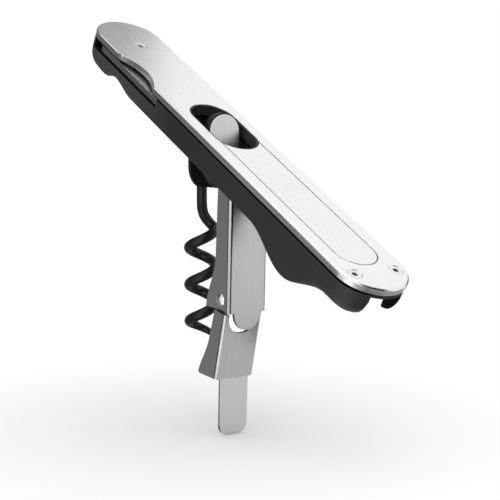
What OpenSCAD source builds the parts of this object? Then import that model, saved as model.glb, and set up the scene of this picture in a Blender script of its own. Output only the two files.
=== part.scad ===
// Push-pull corkscrew, in millimetres.
// The origin is the middle of the rim that the lever tab hooks on, with Z up along the pull.
// The handle frame has x along the handle from the lever pin and z up from the top of the plate.

/* [Pose] */
// height of the lever pin above the rim
lever_pin_z = 52.13; // [50:0.1:54]
// distance of the lever pin from the pull axis
lever_pin_x = 19.9; // [18:0.1:22]
// how far the handle tips down at its low end
handle_tilt = 28.36; // [20:0.1:35]
// lean of the upper lever from vertical
lever_lean = 2; // [0:0.1:4]
// bend of the lower lever against the upper one
lower_bend = 12.3; // [10:0.1:14]

/* [Top plate] */
// width of the plate
plate_w = 18.6; // [18:0.1:20]
// thickness of the plate
plate_t = 1.7; // [1.5:0.1:2.2]
// reach of the plate from the lever pin to its high end
plate_high = 71.9; // [70:0.1:76]
// reach of the plate from the lever pin to its low end
plate_low = 60.1; // [59.5:0.1:62]
// chamfer along the upper edges of the plate
plate_chamfer = 0.35; // [0.2:0.05:0.5]
// radius of the thumb scallop
scallop_r = 17; // [14:0.5:20]
// depth of the thumb scallop
scallop_depth = 2.9; // [2:0.1:3.5]
// distance of the scallop from the lever pin
scallop_x = 42.4; // [40:0.1:44]
// rounding of the scallop towards the high end
scallop_soft = 5; // [3:0.5:6]
// rounding of the scallop towards the window
scallop_crisp = 1.2; // [0.8:0.1:2]

/* [Window and inlay] */
// room between the push plate and each side of the window
window_room = 1.7; // [1.4:0.05:1.9]
// length of the window
window_l = 22.95; // [22:0.05:24]
// wall of the body's collar that lines the window
collar_t = 0.45; // [0.35:0.05:0.5]
// distance of the window's middle from the hub pin, towards the low end
window_shift = 1.7; // [1:0.1:2.5]
// how much narrower the inlay strip is than the window, on each side
strip_step = 0.6; // [0.4:0.05:1.6]
// distance from the end of the inlay strip to the low end of the plate
strip_inset = 9.9; // [9.5:0.1:14]
// thickness of the inlay strip
strip_t = 0.6; // [0.5:0.05:0.7]
// thickness of the adhesive film
tape_t = 0.18; // [0.1:0.01:0.2]
// how far the strip lies below the plate
strip_recess = 0.03; // [0.02:0.01:0.15]
// gap around the strip
strip_gap = 0.22; // [0.1:0.01:0.25]

/* [Handle body] */
// how far the plate overhangs the body
plate_overhang = 0.3; // [0.1:0.05:0.5]
// how far the body reaches out past that at the high end
heel_reach = 0.5; // [0.3:0.05:0.8]
// thickness of the side walls
wall_t = 2.4; // [2.2:0.1:2.6]
// thickness of the roof under the plate
roof_t = 1.1; // [0.9:0.05:1.15]
// depth of the body at the blade, from the top of the plate
depth_blade = 8.7; // [8.5:0.1:9.5]
// depth of the body at the middle
depth_mid = 8.5; // [8.2:0.1:9]
// depth of the body at its low end
depth_end = 9.1; // [8.8:0.1:10]
// extra depth of the finger bulge
bulge_depth = 4.8; // [4:0.1:6]
// distance of the bulge from the lever pin
bulge_x = 34; // [32:0.1:36]
// rise of the nick behind the high end
nick_rise = 1.6; // [1:0.1:1.8]
// shadow groove round the body under the plate
groove = 0.8; // [0.4:0.05:0.9]
// rounding of the lower edges at the middle
edge_mid = 0.7; // [0.5:0.05:1]
// rounding of the lower edges at the high end
edge_high = 2; // [1.5:0.1:2.5]
// rounding of the lower edges at the low end
edge_low = 3.2; // [2.5:0.1:3.5]
// length of the lever channel from the lever pin towards the high end
channel_high = 27.9; // [27:0.1:29]
// thickness of the end block at the low end
end_block = 5.7; // [5:0.1:6]
// width of the notch in the end block
notch_w = 8.9; // [8.9:0.1:9.6]

/* [Screws] */
// distance of the end screws from the low end of the plate
screw_inset = 7; // [6.8:0.1:7.4]
// distance between the two end screws
screw_span = 12; // [11.6:0.1:12.2]
// diameter of the screw heads
head_d = 3.5; // [3.2:0.1:3.6]
// diameter of the screw shanks
screw_d = 1.8; // [1.6:0.05:2]
// width across the flats of the sockets
socket_af = 1.3; // [1.1:0.1:1.4]
// wall of the threaded inserts
insert_wall = 0.6; // [0.5:0.05:0.7]
// running gap between the small round parts
fit_gap = 0.04; // [0.02:0.01:0.06]

/* [Foil blade] */
// distance of the blade pivot from the high end of the plate
blade_inset = 15.2; // [15:0.1:16]
// thickness of the blade
blade_t = 1.6; // [1.2:0.05:1.7]
// height of the blade recess below the plate
recess_h = 3; // [2.9:0.05:3.4]
// how far the blade's spine lies from the pivot line
spine_y = 8.6; // [8:0.1:8.7]
// reach of the blade from its pivot
blade_reach = 25.6; // [24:0.1:25.8]
// wall of the blade bush
bush_wall = 0.75; // [0.6:0.05:0.9]
// diameter of the blade washers
blade_washer_d = 7; // [6:0.1:8]
// thickness of the washer below the blade
lower_washer_t = 0.45; // [0.4:0.05:0.6]
// gap on each face of the blade and washers
face_gap = 0.05; // [0.03:0.01:0.06]
// number of teeth along the cutting edge
tooth_count = 9; // [5:1:12]

/* [Levers] */
// diameter of the lever pin and the hub pin
pin_d = 3; // [2.8:0.05:3.1]
// depth of the lever pin below the top of the plate
lever_pin_depth = 6; // [6:0.05:6.2]
// thickness of the lever sheet
sheet_t = 0.8; // [0.7:0.05:0.9]
// outer bend radius of the sheet
bend_r = 0.95; // [0.85:0.05:1.2]
// thickness of the lever washers
lever_washer_t = 0.7; // [0.6:0.05:0.8]
// distance from the lever pin to the outer face of the web
web_offset = 3; // [2.9:0.05:3]
// flange depth at the lever pin
flange_top = 5.3; // [5:0.1:5.5]
// flange depth at the shoulder of the upper lever
flange_flare = 9.7; // [9:0.1:10]
// length of the upper lever's flanges
upper_l = 34.1; // [33.9:0.1:34.3]
// reach of the upper lever's tongue past its flanges
tongue_l = 5.1; // [4.8:0.1:5.3]
// width of the tongue
tongue_w = 8; // [7:0.1:8.2]
// distance from the rivets to the foot of the upper lever's flanges
rivet_inset = 2.4; // [2.2:0.1:2.6]
// distance from the upper web's outer face to the rivets
rivet_w = 3.6; // [3.5:0.05:3.7]
// diameter of the rivet shanks
rivet_d = 2; // [1.8:0.05:2.2]
// diameter of the rivet heads
rivet_head_d = 3.3; // [3:0.1:3.6]
// height of the rivet heads
rivet_head_h = 0.8; // [0.6:0.05:1]
// distance from the rivets to the lower web's outer face
lower_web = 3; // [2.9:0.05:3.1]
// distance from the rivets to the top of the lower lever's full width
joggle_v = 3.15; // [3.1:0.05:3.4]
// distance from the rivets to the foot of the round cut-out
cutout_v = 8.3; // [8:0.1:8.6]
// gap between the tongue and the round cut-out, to each side
cutout_gap = 0.4; // [0.3:0.05:0.5]
// flange depth of the lower lever at the rivets
lower_flange = 4.7; // [4.5:0.1:5]
// flange depth at the foot of the lower lever
lower_flare = 7.8; // [7:0.1:8.2]
// distance from the rivets to the foot of the lower web
lower_l = 20.5; // [20:0.1:21]
// width of the rim tab
tab_w = 8.46; // [8:0.02:8.5]
// length of the rim tab
tab_l = 14.6; // [14:0.1:15]
// rounding of the tab's corners
tab_r = 2.5; // [2:0.1:3]

/* [Hub and worm] */
// distance from the hub pin to the lever pin, along the handle
hub_pin_x = 14.1; // [13.9:0.05:14.4]
// depth of the hub pin below the top of the plate
hub_pin_depth = 5.5; // [5.4:0.05:5.6]
// how far the folded push plate lies below the top of the plate
face_recess = 1.03; // [0.9:0.01:1.1]
// thickness of the push plate
push_t = 0.8; // [0.6:0.05:0.9]
// length of the spacers beside the hub
spacer_l = 1.77; // [1.7:0.01:1.9]
// reach of the push plate above the hub pin
push_up = 6.93; // [6.5:0.05:7]
// reach of the push plate below the hub pin
push_down = 11.27; // [11:0.05:11.3]
// rim of black plastic round the push plate
push_rim = 0.38; // [0.3:0.02:0.4]
// thickness of the plastic behind the push plate
tongue_t = 1.8; // [1.6:0.05:1.9]
// radius of the hub's nose
nose_r = 3.5; // [3.3:0.05:3.6]
// distance from the hub pin to the worm's axis
worm_offset = 5.83; // [5.7:0.01:5.9]
// diameter of the worm's wire
wire_d = 2.7; // [2.5:0.05:2.8]
// rise of the worm in one turn
worm_pitch = 9.6; // [8:0.1:10]
// gap between the folded worm and the lever's flanges
worm_gap = 0.28; // [0.25:0.01:0.5]
// height of the worm's point above the rim
worm_tip_z = 6; // [6:0.1:10]
// drop of the wire while it moves out from its axis
worm_lead = 7.4; // [6.8:0.1:7.8]
// height above the rim where the wire leaves its axis
worm_bend_z = 43.9; // [43.4:0.1:44.2]

/* [Hidden] */
$fn = 64;
// overlap that lets one cut pass clear through another face
through = 1;
// plan of the plate and the body
plate_r = plate_w / 2;
body_r = plate_r - plate_overhang;
end_high = plate_r - plate_high;
end_low = plate_low - plate_r;
heel_x = end_high - heel_reach;
roof_z = plate_t + roof_t;
channel_r = body_r - wall_t;
channel_low = plate_low - end_block - plate_overhang;
// the pins leave a thin skin of plastic over their blind ends
pin_skin = 0.6;
pin_start = pin_skin + face_gap - body_r;
lever_washer_d = 5.2;
// lever widths follow from the channel
slide_gap = 0.1;
lever_r = channel_r - lever_washer_t - slide_gap;
lever_inner = lever_r - sheet_t;
ear_gap = 0.05;
ear_r = lever_inner - ear_gap;
// screws and inserts
screw_x = plate_low - screw_inset;
insert_d = screw_d + 2 * fit_gap + 2 * insert_wall;
// plastic that stands round and below an end insert
boss_wall = 1.1;
boss_drop = 1.6;
boss_d = insert_d + 2 * boss_wall;
boss_z = roof_z + boss_drop;
// how far the screw heads and the end inserts lie below the face above them
screw_sink = 0.08;
insert_sink = 0.15;
head_h = (head_d - screw_d) / 2;
// blade stack
blade_x = blade_inset - plate_high;
recess_z = plate_t + recess_h;
bush_r = screw_d / 2 + fit_gap + bush_wall;
blade_low_z = recess_z - lower_washer_t - 2 * face_gap;
blade_top_z = blade_low_z - blade_t;
// the blade screw ends this far above the floor of its insert
blade_screw_short = 1;
// room round the swinging blade
sweep_gap = 0.5;
// round heel of the blade, from its pivot
heel_r = 2.3;
heel = [-4.3, heel_r - spine_y];
recess_r = norm(heel) + heel_r + sweep_gap;
recess_far = heel_r - heel[0] + sweep_gap;
recess_side = 2.5;
// the recess opens to the side from here on, to clear the spine of the open blade
slot_from = -spine_y - sweep_gap;
// hub
hub_wide = channel_r - spacer_l;
push_w = 2 * (hub_wide - push_rim);
spacer_d = 2 * (hub_pin_depth - roof_z - slide_gap);
face_offset = hub_pin_depth - face_recess;
tongue_x = face_offset - push_t - tongue_t;
hub_boss_r = 2.8;
// the nose is rounded off at its foot by a quarter ellipse
toe_r = 2.8;
toe_z = 5.2;
hub_z0 = -push_down - push_rim;
helix_r = lever_inner - worm_gap - wire_d / 2;
// window and inlay strip in the handle frame
window_w = push_w + 2 * window_room;
strip_w = window_w - 2 * strip_step;
window_r = window_w / 2;
window_mid = window_shift - hub_pin_x;
window_half = window_l / 2 - window_r;
// gap round the collar, and how far its rim lies below the top of the plate
collar_gap = 0.05;
collar_sink = 0.1;
// world places of the pins
pin_gap_z = lever_pin_depth - hub_pin_depth;
hub_pin_world = [
    lever_pin_x - hub_pin_x * cos(handle_tilt) + pin_gap_z * sin(handle_tilt),
    0,
    lever_pin_z + hub_pin_x * sin(handle_tilt) + pin_gap_z * cos(handle_tilt)
];
rivet_x = web_offset - rivet_w;
rivet_u = upper_l - rivet_inset;
tongue_reach = upper_l + tongue_l;

// frames

module handle_frame() {
    translate([lever_pin_x, 0, lever_pin_z]) rotate([0, handle_tilt, 0])
        translate([0, 0, lever_pin_depth]) children();
}

module lever_frame() {
    translate([lever_pin_x, 0, lever_pin_z]) rotate([0, lever_lean, 0]) children();
}

module lower_frame() {
    lever_frame() translate([rivet_x, 0, -rivet_u]) rotate([0, lower_bend, 0]) children();
}

module hub_frame() {
    translate(hub_pin_world) children();
}

module mirrored_y() {
    children();
    mirror([0, 1, 0]) children();
}

// shared shapes

// a bar with round ends along x, from depth z0 up to z1
module bar(x0, x1, r, z0, z1) {
    translate([0, 0, z0]) linear_extrude(z1 - z0) {
        translate([x0, 0]) circle(r);
        translate([x1, 0]) circle(r);
        translate([x0, -r]) square([x1 - x0, 2 * r]);
    }
}

// extrudes an x-z profile across y
module across(w) {
    rotate([90, 0, 0]) linear_extrude(w, center = true) children();
}

module cross_pin(x, z, d, y0, y1) {
    translate([x, y1, z]) rotate([90, 0, 0]) cylinder(d = d, h = y1 - y0);
}

module ring(d_out, d_in, h) {
    difference() {
        cylinder(d = d_out, h = h);
        translate([0, 0, -through]) cylinder(d = d_in, h = h + 2 * through);
    }
}

// faces of a closed tube of m rings with n points each
function tube_faces(n, m) = let (last = (m - 1) * n) concat(
    [for (i = [0 : m - 2], j = [0 : n - 1])
        let (a = i * n + j, b = i * n + (j + 1) % n) each [[a, b, a + n], [b, b + n, a + n]]],
    [for (j = [1 : n - 2]) [0, j + 1, j]],
    [for (j = [1 : n - 2]) [last, last + j, last + j + 1]]
);

// eases from 0 to 1, a smooth hump round c, and the fall of a round nose
function soft(t) = let (c = min(max(t, 0), 1)) c * c * (3 - 2 * c);
function bump(x, c, left, right) =
    let (t = (x - c) / (x < c ? left : right)) abs(t) >= 1 ? 0 : (1 + cos(180 * t)) / 2;
function nose_fade(s, r) = s >= r ? 1 : sqrt(max(0, 1 - pow(1 - s / r, 2)));

// top plate and inlay

// upper edge of the scallop circle lies this far inside the plate's edge
scallop_y = -(plate_r - scallop_depth + scallop_r);

// rounds the corner between the plate's edge and the scallop on one side
module scallop_corner(side, r) {
    rise = -plate_r + r;
    run = sqrt(pow(scallop_r + r, 2) - pow(rise - scallop_y, 2));
    share = scallop_r / (scallop_r + r);
    edge = sqrt(pow(scallop_r, 2) - pow(plate_r + scallop_y, 2));
    difference() {
        polygon([[side * run, -plate_r - through / 10], [side * edge, -plate_r - through / 10],
            [side * edge, -plate_r], [side * run * share, scallop_y + (rise - scallop_y) * share],
            [side * run, rise]]);
        translate([side * run, rise]) circle(r);
    }
}

module scallop_plan() {
    translate([0, scallop_y]) circle(scallop_r);
    scallop_corner(-1, scallop_soft);
    scallop_corner(1, scallop_crisp);
}

module chamfered_bar(x0, x1, r, t, c) {
    half = [[0, -t], [r, -t], [r, -c], [r - c, 0], [0, 0]];
    translate([x0, 0, 0]) rotate_extrude() polygon(half);
    translate([x1, 0, 0]) rotate_extrude() polygon(half);
    translate([x0, 0, 0]) rotate([90, 0, 90]) linear_extrude(x1 - x0)
        polygon([[-r, -t], [r, -t], [r, -c], [r - c, 0], [c - r, 0], [-r, -c]]);
}

module countersink() {
    hole_d = screw_d + 2 * fit_gap;
    seat_d = head_d + 2 * fit_gap;
    translate([0, 0, -plate_t - through]) cylinder(d = hole_d, h = plate_t + 2 * through);
    translate([0, 0, -head_h - fit_gap]) cylinder(d1 = hole_d, d2 = seat_d, h = head_h);
    translate([0, 0, -fit_gap]) cylinder(d = seat_d, h = through);
}

// the window's outline, made smaller all round
module window_bar(inset, z0, z1) {
    bar(window_mid - window_half, window_mid + window_half, window_r - inset, z0, z1);
}

module strip_plan(grow) {
    r = strip_w / 2 + grow;
    x1 = plate_low - strip_inset - strip_w / 2;
    difference() {
        union() {
            translate([window_mid, -r]) square([x1 - window_mid, 2 * r]);
            translate([x1, 0]) circle(r);
        }
        translate([window_mid + window_half, 0]) circle(window_r + collar_gap * (1 - grow / strip_gap));
        translate([window_mid - window_r, -window_r]) square([window_r + window_half, window_w]);
    }
}

module top_plate() {
    pocket = strip_recess + strip_t + tape_t;
    color("silver") handle_frame() difference() {
        chamfered_bar(end_high, end_low, plate_r, plate_t, plate_chamfer);
        translate([-scallop_x, 0, -plate_t - through])
            linear_extrude(plate_t + 2 * through) scallop_plan();
        window_bar(0, -plate_t - through, through);
        translate([0, 0, -pocket]) linear_extrude(pocket + through) strip_plan(strip_gap);
        mirrored_y() translate([screw_x, screw_span / 2, 0]) countersink();
        translate([blade_x, 0, 0]) countersink();
    }
}

module inlay_strip() {
    color("gainsboro") handle_frame() translate([0, 0, -strip_recess - strip_t])
        linear_extrude(strip_t) strip_plan(0);
}

module inlay_tape() {
    color("dimgray") handle_frame() translate([0, 0, -strip_recess - strip_t - tape_t])
        linear_extrude(tape_t) strip_plan(-strip_gap);
}

// handle body

body_x0 = heel_x - body_r;
body_x1 = end_low + body_r;
bulge_left = 16.5;
bulge_right = 13.9;
end_from = 3.7;
end_blend = 10;
mid_from = -27.5;
mid_blend = 35;
nick_x = -51.8;
nick_left = 5;
nick_right = 9.7;
lobe_x = -60.3;
lobe_left = 8.3;
lobe_right = 6.8;
lobe_drop = 0.75;
fade_high = 9.4;
fade_low = 6;
edge_high_from = -62;
edge_high_blend = 8;
edge_low_from = 36;
edge_low_blend = 12;

function body_half(x) = sqrt(max(0, pow(body_r, 2) - pow(max(0, heel_x - x, x - end_low), 2)));
function full_depth(x) = depth_mid
    + (depth_blade - depth_mid) * (1 - soft((x - mid_from) / mid_blend))
    + (depth_end - depth_mid) * soft((x - bulge_x - end_from) / end_blend)
    + bulge_depth * bump(x, bulge_x, bulge_left, bulge_right)
    + lobe_drop * bump(x, lobe_x, lobe_left, lobe_right)
    - nick_rise * bump(x, nick_x, nick_left, nick_right);
function body_depth(x) = plate_t + (full_depth(x) - plate_t)
    * min(nose_fade(x - body_x0, fade_high), nose_fade(body_x1 - x, fade_low));
function edge_radius(x) = edge_mid
    + (edge_high - edge_mid) * (1 - soft((x - edge_high_from) / edge_high_blend))
    + (edge_low - edge_mid) * soft((x - edge_low_from) / edge_low_blend);

cap_steps = 10;
mid_step = 1.9;
arc_steps = 6;
first_angle = 6;
mid_count = round((end_low - heel_x) / mid_step);
cap_angles = [for (i = [0 : cap_steps - 1]) first_angle + (90 - first_angle) * i / cap_steps];
stations = concat(
    [for (t = cap_angles) heel_x - body_r * cos(t)],
    [for (i = [0 : mid_count]) heel_x + (end_low - heel_x) * i / mid_count],
    [for (i = [cap_steps - 1 : -1 : 0]) end_low + body_r * cos(cap_angles[i])]
);

// largest shares of a small section that its lower rounding and its groove take up
edge_share = 0.8;
groove_share = 0.12;

function half_section(x) =
    let (w = body_half(x), d = body_depth(x), room = min(w, d - plate_t),
        r = min(edge_radius(x), edge_share * room), g = min(groove, groove_share * room))
    concat([[w - g, -plate_t], [w - g, -plate_t - g], [w, -plate_t - g]], [for (i = [0 : arc_steps])
        let (t = 90 * i / arc_steps) [w - r + r * cos(t), -d + r - r * sin(t)]]);
function section(x) =
    let (h = half_section(x), n = len(h))
    concat([for (p = h) [x, p[0], p[1]]], [for (i = [n - 1 : -1 : 0]) [x, -h[i][0], h[i][1]]]);

module body_skin() {
    points = [for (x = stations) each section(x)];
    polyhedron(points = points, faces = tube_faces(2 * (arc_steps + 4), len(stations)),
        convexity = 8);
}

module blade_recess() {
    translate([blade_x, 0, -recess_z]) linear_extrude(recess_h + through) {
        intersection() {
            circle(recess_r);
            translate([-recess_r, -recess_r]) square([2 * recess_r, recess_r + recess_far]);
        }
        translate([slot_from, -plate_w]) square([blade_reach + sweep_gap - slot_from, plate_w]);
        translate([0, -plate_w]) square([blade_reach + sweep_gap, plate_w + recess_side]);
    }
}

module handle_body() {
    color("#303234") handle_frame() difference() {
        union() {
            difference() {
                body_skin();
                translate([-channel_high, -channel_r, -3 * depth_end])
                    cube([channel_high + channel_low, 2 * channel_r, 3 * depth_end - roof_z]);
            }
            window_bar(collar_gap, -plate_t - roof_t / 2, -collar_sink);
            mirrored_y() intersection() {
                translate([screw_x, screw_span / 2, -boss_z])
                    cylinder(d = boss_d, h = boss_z - plate_t - roof_t / 2);
                translate([screw_x - boss_d, 0, -boss_z])
                    cube([2 * boss_d, channel_r + wall_t / 2, boss_z]);
            }
        }
        translate([channel_low - through, -notch_w / 2, -3 * depth_end])
            cube([end_block + 3 * through, notch_w, 3 * depth_end - roof_z]);
        window_bar(collar_t, -roof_z - through, 0);
        blade_recess();
        translate([blade_x, 0, -recess_z - recess_h + face_gap]) cylinder(d = insert_d, h = recess_h);
        mirrored_y() translate([screw_x, screw_span / 2, -boss_z - through])
            cylinder(d = insert_d, h = boss_z + through);
        cross_pin(0, -lever_pin_depth, pin_d, pin_skin - body_r, plate_w);
        cross_pin(-hub_pin_x, -hub_pin_depth, pin_d, pin_skin - body_r, plate_w);
    }
}

// screws and inserts

module screw(l) {
    difference() {
        union() {
            translate([0, 0, -l]) cylinder(d = screw_d, h = l - head_h);
            translate([0, 0, -head_h]) cylinder(d1 = screw_d, d2 = head_d, h = head_h);
        }
        translate([0, 0, -head_h]) cylinder(d = socket_af / cos(30), h = plate_t, $fn = 6);
    }
}

module end_screws() {
    color("lightgray") handle_frame() mirrored_y()
        translate([screw_x, screw_span / 2, -screw_sink]) screw(boss_z - 2 * screw_sink);
}

module end_inserts() {
    color("goldenrod") handle_frame() mirrored_y()
        translate([screw_x, screw_span / 2, -boss_z + face_gap])
            ring(insert_d, screw_d + 2 * fit_gap, boss_z - face_gap - plate_t - insert_sink);
}

module blade_screw() {
    color("lightgray") handle_frame() translate([blade_x, 0, -screw_sink])
        screw(recess_z + recess_h - 2 * screw_sink - blade_screw_short);
}

module blade_insert() {
    color("goldenrod") handle_frame() translate([blade_x, 0, -recess_z - recess_h + face_gap])
        ring(insert_d, screw_d + 2 * fit_gap, recess_h - face_gap);
}

// foil blade

module blade_bush() {
    color("goldenrod") handle_frame() translate([blade_x, 0, -recess_z])
        ring(2 * bush_r, screw_d + 2 * fit_gap, recess_h);
}

module blade_washers() {
    d_in = 2 * bush_r + 2 * fit_gap;
    upper_t = blade_top_z - plate_t - 2 * face_gap;
    color("gray") handle_frame() translate([blade_x, 0, 0]) {
        translate([0, 0, -recess_z + face_gap]) ring(blade_washer_d, d_in, lower_washer_t);
        translate([0, 0, -blade_top_z + face_gap]) ring(blade_washer_d, d_in, upper_t);
    }
}

module blade_plan() {
    tang_r = 5;
    edge_y = 0.9;
    tooth_r = 0.75;
    tooth_from = 8.6;
    tooth_end = 9;
    tooth_to = blade_reach - tooth_end;
    tooth_step = (tooth_to - tooth_from) / (tooth_count - 1);
    // corners of the curved tip, back from the blade's reach and across
    tip_cut = [[0, -spine_y], [0.6, -5.8], [2.2, -2.8], [5, -0.3], [8, edge_y]];
    tip = [for (c = tip_cut) [blade_reach - c[0], c[1]]];
    difference() {
        union() {
            circle(tang_r);
            translate(heel) circle(heel_r);
            translate([heel[0] - heel_r, heel[1]]) square([heel_r - heel[0], -heel[1]]);
            polygon(concat([[heel[0], -spine_y]], tip, [[0, edge_y], [heel[0], 0]]));
        }
        for (i = [0 : tooth_count - 1])
            translate([tooth_from + i * tooth_step, edge_y + tooth_r / 2]) circle(tooth_r);
    }
}

module foil_blade() {
    color("silver") handle_frame() translate([blade_x, 0, -blade_low_z])
        linear_extrude(blade_t) difference() {
            blade_plan();
            circle(bush_r + fit_gap);
        }
}

// levers

module lever_pin() {
    color("gray") handle_frame()
        cross_pin(0, -lever_pin_depth, pin_d, pin_start, body_r - face_gap);
}

module hub_pin() {
    color("gray") handle_frame()
        cross_pin(-hub_pin_x, -hub_pin_depth, pin_d, pin_start, body_r - face_gap);
}

module lever_washers() {
    d_in = pin_d + 2 * fit_gap;
    color("gray") handle_frame() mirrored_y()
        translate([0, channel_r - face_gap / 2, -lever_pin_depth]) rotate([90, 0, 0])
            ring(lever_washer_d, d_in, lever_washer_t);
}

module hub_spacers() {
    d_in = pin_d + 2 * fit_gap;
    color("gray") handle_frame() mirrored_y()
        translate([-hub_pin_x, channel_r - face_gap / 2, -hub_pin_depth]) rotate([90, 0, 0])
            ring(spacer_d, d_in, spacer_l - 2 * face_gap);
}

// folded channel section: web outer face at x = 0, flanges towards -x
module u_section(depth) {
    difference() {
        union() {
            translate([-depth, -lever_r]) square([depth - bend_r, 2 * lever_r]);
            translate([-bend_r, bend_r - lever_r]) square([bend_r, 2 * (lever_r - bend_r)]);
            for (s = [-1, 1]) translate([-bend_r, s * (lever_r - bend_r)]) circle(bend_r);
        }
        translate([-depth - through, -lever_inner])
            square([depth + through - sheet_t, 2 * lever_inner]);
    }
}

web_foot = 0.8;
flare_from = 21.5;
flare_step = 1.05;
flange_slope = 0.03;

function upper_flange(u) = flange_top + flange_slope * u
    + (flange_flare - flange_top - flange_slope * upper_l)
    * soft((u - flare_from) / (upper_l - flare_from));

module upper_profile() {
    polygon(concat(
        [[web_offset, 0], [web_offset, -upper_l - web_foot],
            [web_offset - bend_r, -upper_l - web_foot], [web_offset - bend_r, -upper_l]],
        [for (u = [upper_l : -flare_step : flare_from]) [web_offset - upper_flange(u), -u]],
        [[web_offset - flange_top, 0]]
    ));
    circle(web_offset);
}

module upper_lever() {
    tongue_r = tongue_w / 2;
    color("silver") lever_frame() difference() {
        union() {
            intersection() {
                translate([web_offset, 0, -2 * upper_l])
                    linear_extrude(3 * upper_l) u_section(2 * flange_flare);
                across(plate_w) upper_profile();
            }
            translate([web_offset - sheet_t, 0, 0]) rotate([90, 0, 90]) linear_extrude(sheet_t) {
                translate([0, tongue_r - tongue_reach]) circle(tongue_r);
                translate([-tongue_r, tongue_r - tongue_reach])
                    square([tongue_w, tongue_reach - tongue_r - upper_l]);
            }
        }
        cross_pin(0, 0, pin_d + 2 * fit_gap, -plate_w, plate_w);
        cross_pin(rivet_x, -rivet_u, rivet_d, -plate_w, plate_w);
    }
}

lower_flare_from = 11.5;
lower_slope = 0.07;
// the flanges end this far below the web, with a rounded corner
skirt = 1;
skirt_r = 0.8;

function lower_depth(v) = let (end_v = lower_l + skirt)
    lower_flange + lower_slope * (v - joggle_v)
    + (lower_flare - lower_flange - lower_slope * (end_v - joggle_v))
    * soft((v - lower_flare_from) / (end_v - lower_flare_from));

module lower_profile() {
    left = lower_web - lower_flare;
    foot = -lower_l - skirt;
    polygon(concat(
        [[lower_web, -joggle_v], [lower_web, -lower_l], [lower_web - bend_r, -lower_l]],
        [for (t = [0 : 30 : 90]) [left + skirt_r * (1 - sin(t)), foot + skirt_r * (1 - cos(t))]],
        [for (v = [lower_l : -flare_step : lower_flare_from]) [lower_web - lower_depth(v), -v]],
        [[lower_web - lower_flange, -joggle_v]]
    ));
}

// an ear lies one sheet further in than the flange below it, and a joggle joins the two
module lower_ear() {
    ear_in = ear_r - sheet_t;
    lug_r = 2.5;
    lap = 2;
    joggle_l = 1.4;
    left = lower_web - lower_flange;
    right = lower_web - bend_r;
    rotate([90, 0, 0]) translate([0, 0, ear_in]) linear_extrude(sheet_t) {
        circle(lug_r);
        translate([left, -joggle_v - lap]) square([right - left, joggle_v + lap]);
    }
    rotate([90, 0, 0]) translate([0, 0, ear_in])
        linear_extrude(lever_inner + sheet_t / 2 - ear_in)
            translate([left, -joggle_v - joggle_l]) square([right - left, joggle_l]);
}

module lower_lever() {
    cutout_r = tongue_w / 2 + cutout_gap;
    crease = sheet_t / 2;
    tab_root = 1.5;
    color("silver") lower_frame() difference() {
        union() {
            intersection() {
                translate([lower_web, 0, -2 * lower_l])
                    linear_extrude(3 * lower_l) u_section(2 * lower_flare);
                across(plate_w) lower_profile();
            }
            mirrored_y() lower_ear();
            translate([lower_web - crease, 0, -lower_l]) {
                rotate([90, 0, 0]) cylinder(r = crease, h = tab_w, center = true);
                translate([-crease, -tab_w / 2, 0]) cube([sheet_t, tab_w, tab_root]);
                rotate([0, -lower_bend, 0]) translate([-crease, 0, 0]) rotate([90, 0, 90])
                    linear_extrude(sheet_t) {
                        translate([-tab_w / 2, tab_r - tab_l]) square([tab_w, tab_l - tab_r]);
                        translate([tab_r - tab_w / 2, -tab_l]) square([tab_w - 2 * tab_r, tab_l]);
                        for (s = [-1, 1])
                            translate([s * (tab_w / 2 - tab_r), tab_r - tab_l]) circle(tab_r);
                    }
            }
        }
        translate([lower_web - 2 * sheet_t, 0, cutout_r - cutout_v]) rotate([0, 90, 0])
            cylinder(r = cutout_r, h = 3 * sheet_t);
        translate([lower_web - 2 * sheet_t, -cutout_r, cutout_r - cutout_v])
            cube([3 * sheet_t, 2 * cutout_r, cutout_v]);
        cross_pin(0, 0, rivet_d + 2 * fit_gap, -plate_w, plate_w);
    }
}

module lever_rivets() {
    cap_r = (pow(rivet_head_d / 2, 2) + pow(rivet_head_h, 2)) / (2 * rivet_head_h);
    inner = ear_r - sheet_t;
    color("white") lever_frame() translate([rivet_x, 0, -rivet_u]) mirrored_y() {
        cross_pin(0, 0, rivet_d, inner, lever_r);
        intersection() {
            translate([0, lever_r + rivet_head_h - cap_r, 0]) sphere(cap_r);
            cross_pin(0, 0, 2 * rivet_head_d, lever_r, lever_r + 2 * rivet_head_h);
        }
    }
}

// hub and worm

module push_outline(grow) {
    r = push_w / 2 + grow;
    low = push_w / 2 - push_down;
    high = push_up - push_w / 2;
    translate([0, low]) circle(r);
    translate([0, high]) circle(r);
    translate([-r, low]) square([2 * r, high - low]);
}

// side view of the hub, whose shoulder slopes down from the pin to the nose
module hub_side() {
    left = -worm_offset - nose_r;
    right = tongue_x + tongue_t / 2;
    shoulder_z = -3.4;
    ease = [-1.6, hub_boss_r - 0.5];
    polygon([[right, hub_boss_r], [0, hub_boss_r], ease, [left, shoulder_z], [left, hub_z0],
        [right, hub_z0]]);
}

// half section of the nose, rounded off at its foot
module nose_profile() {
    toe = [for (t = [0 : 15 : 90])
        [nose_r - toe_r * (1 - cos(t)), hub_z0 + toe_z * (1 - sin(t))]];
    polygon(concat([[0, hub_boss_r], [nose_r, hub_boss_r]], toe, [[0, hub_z0]]));
}

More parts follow.
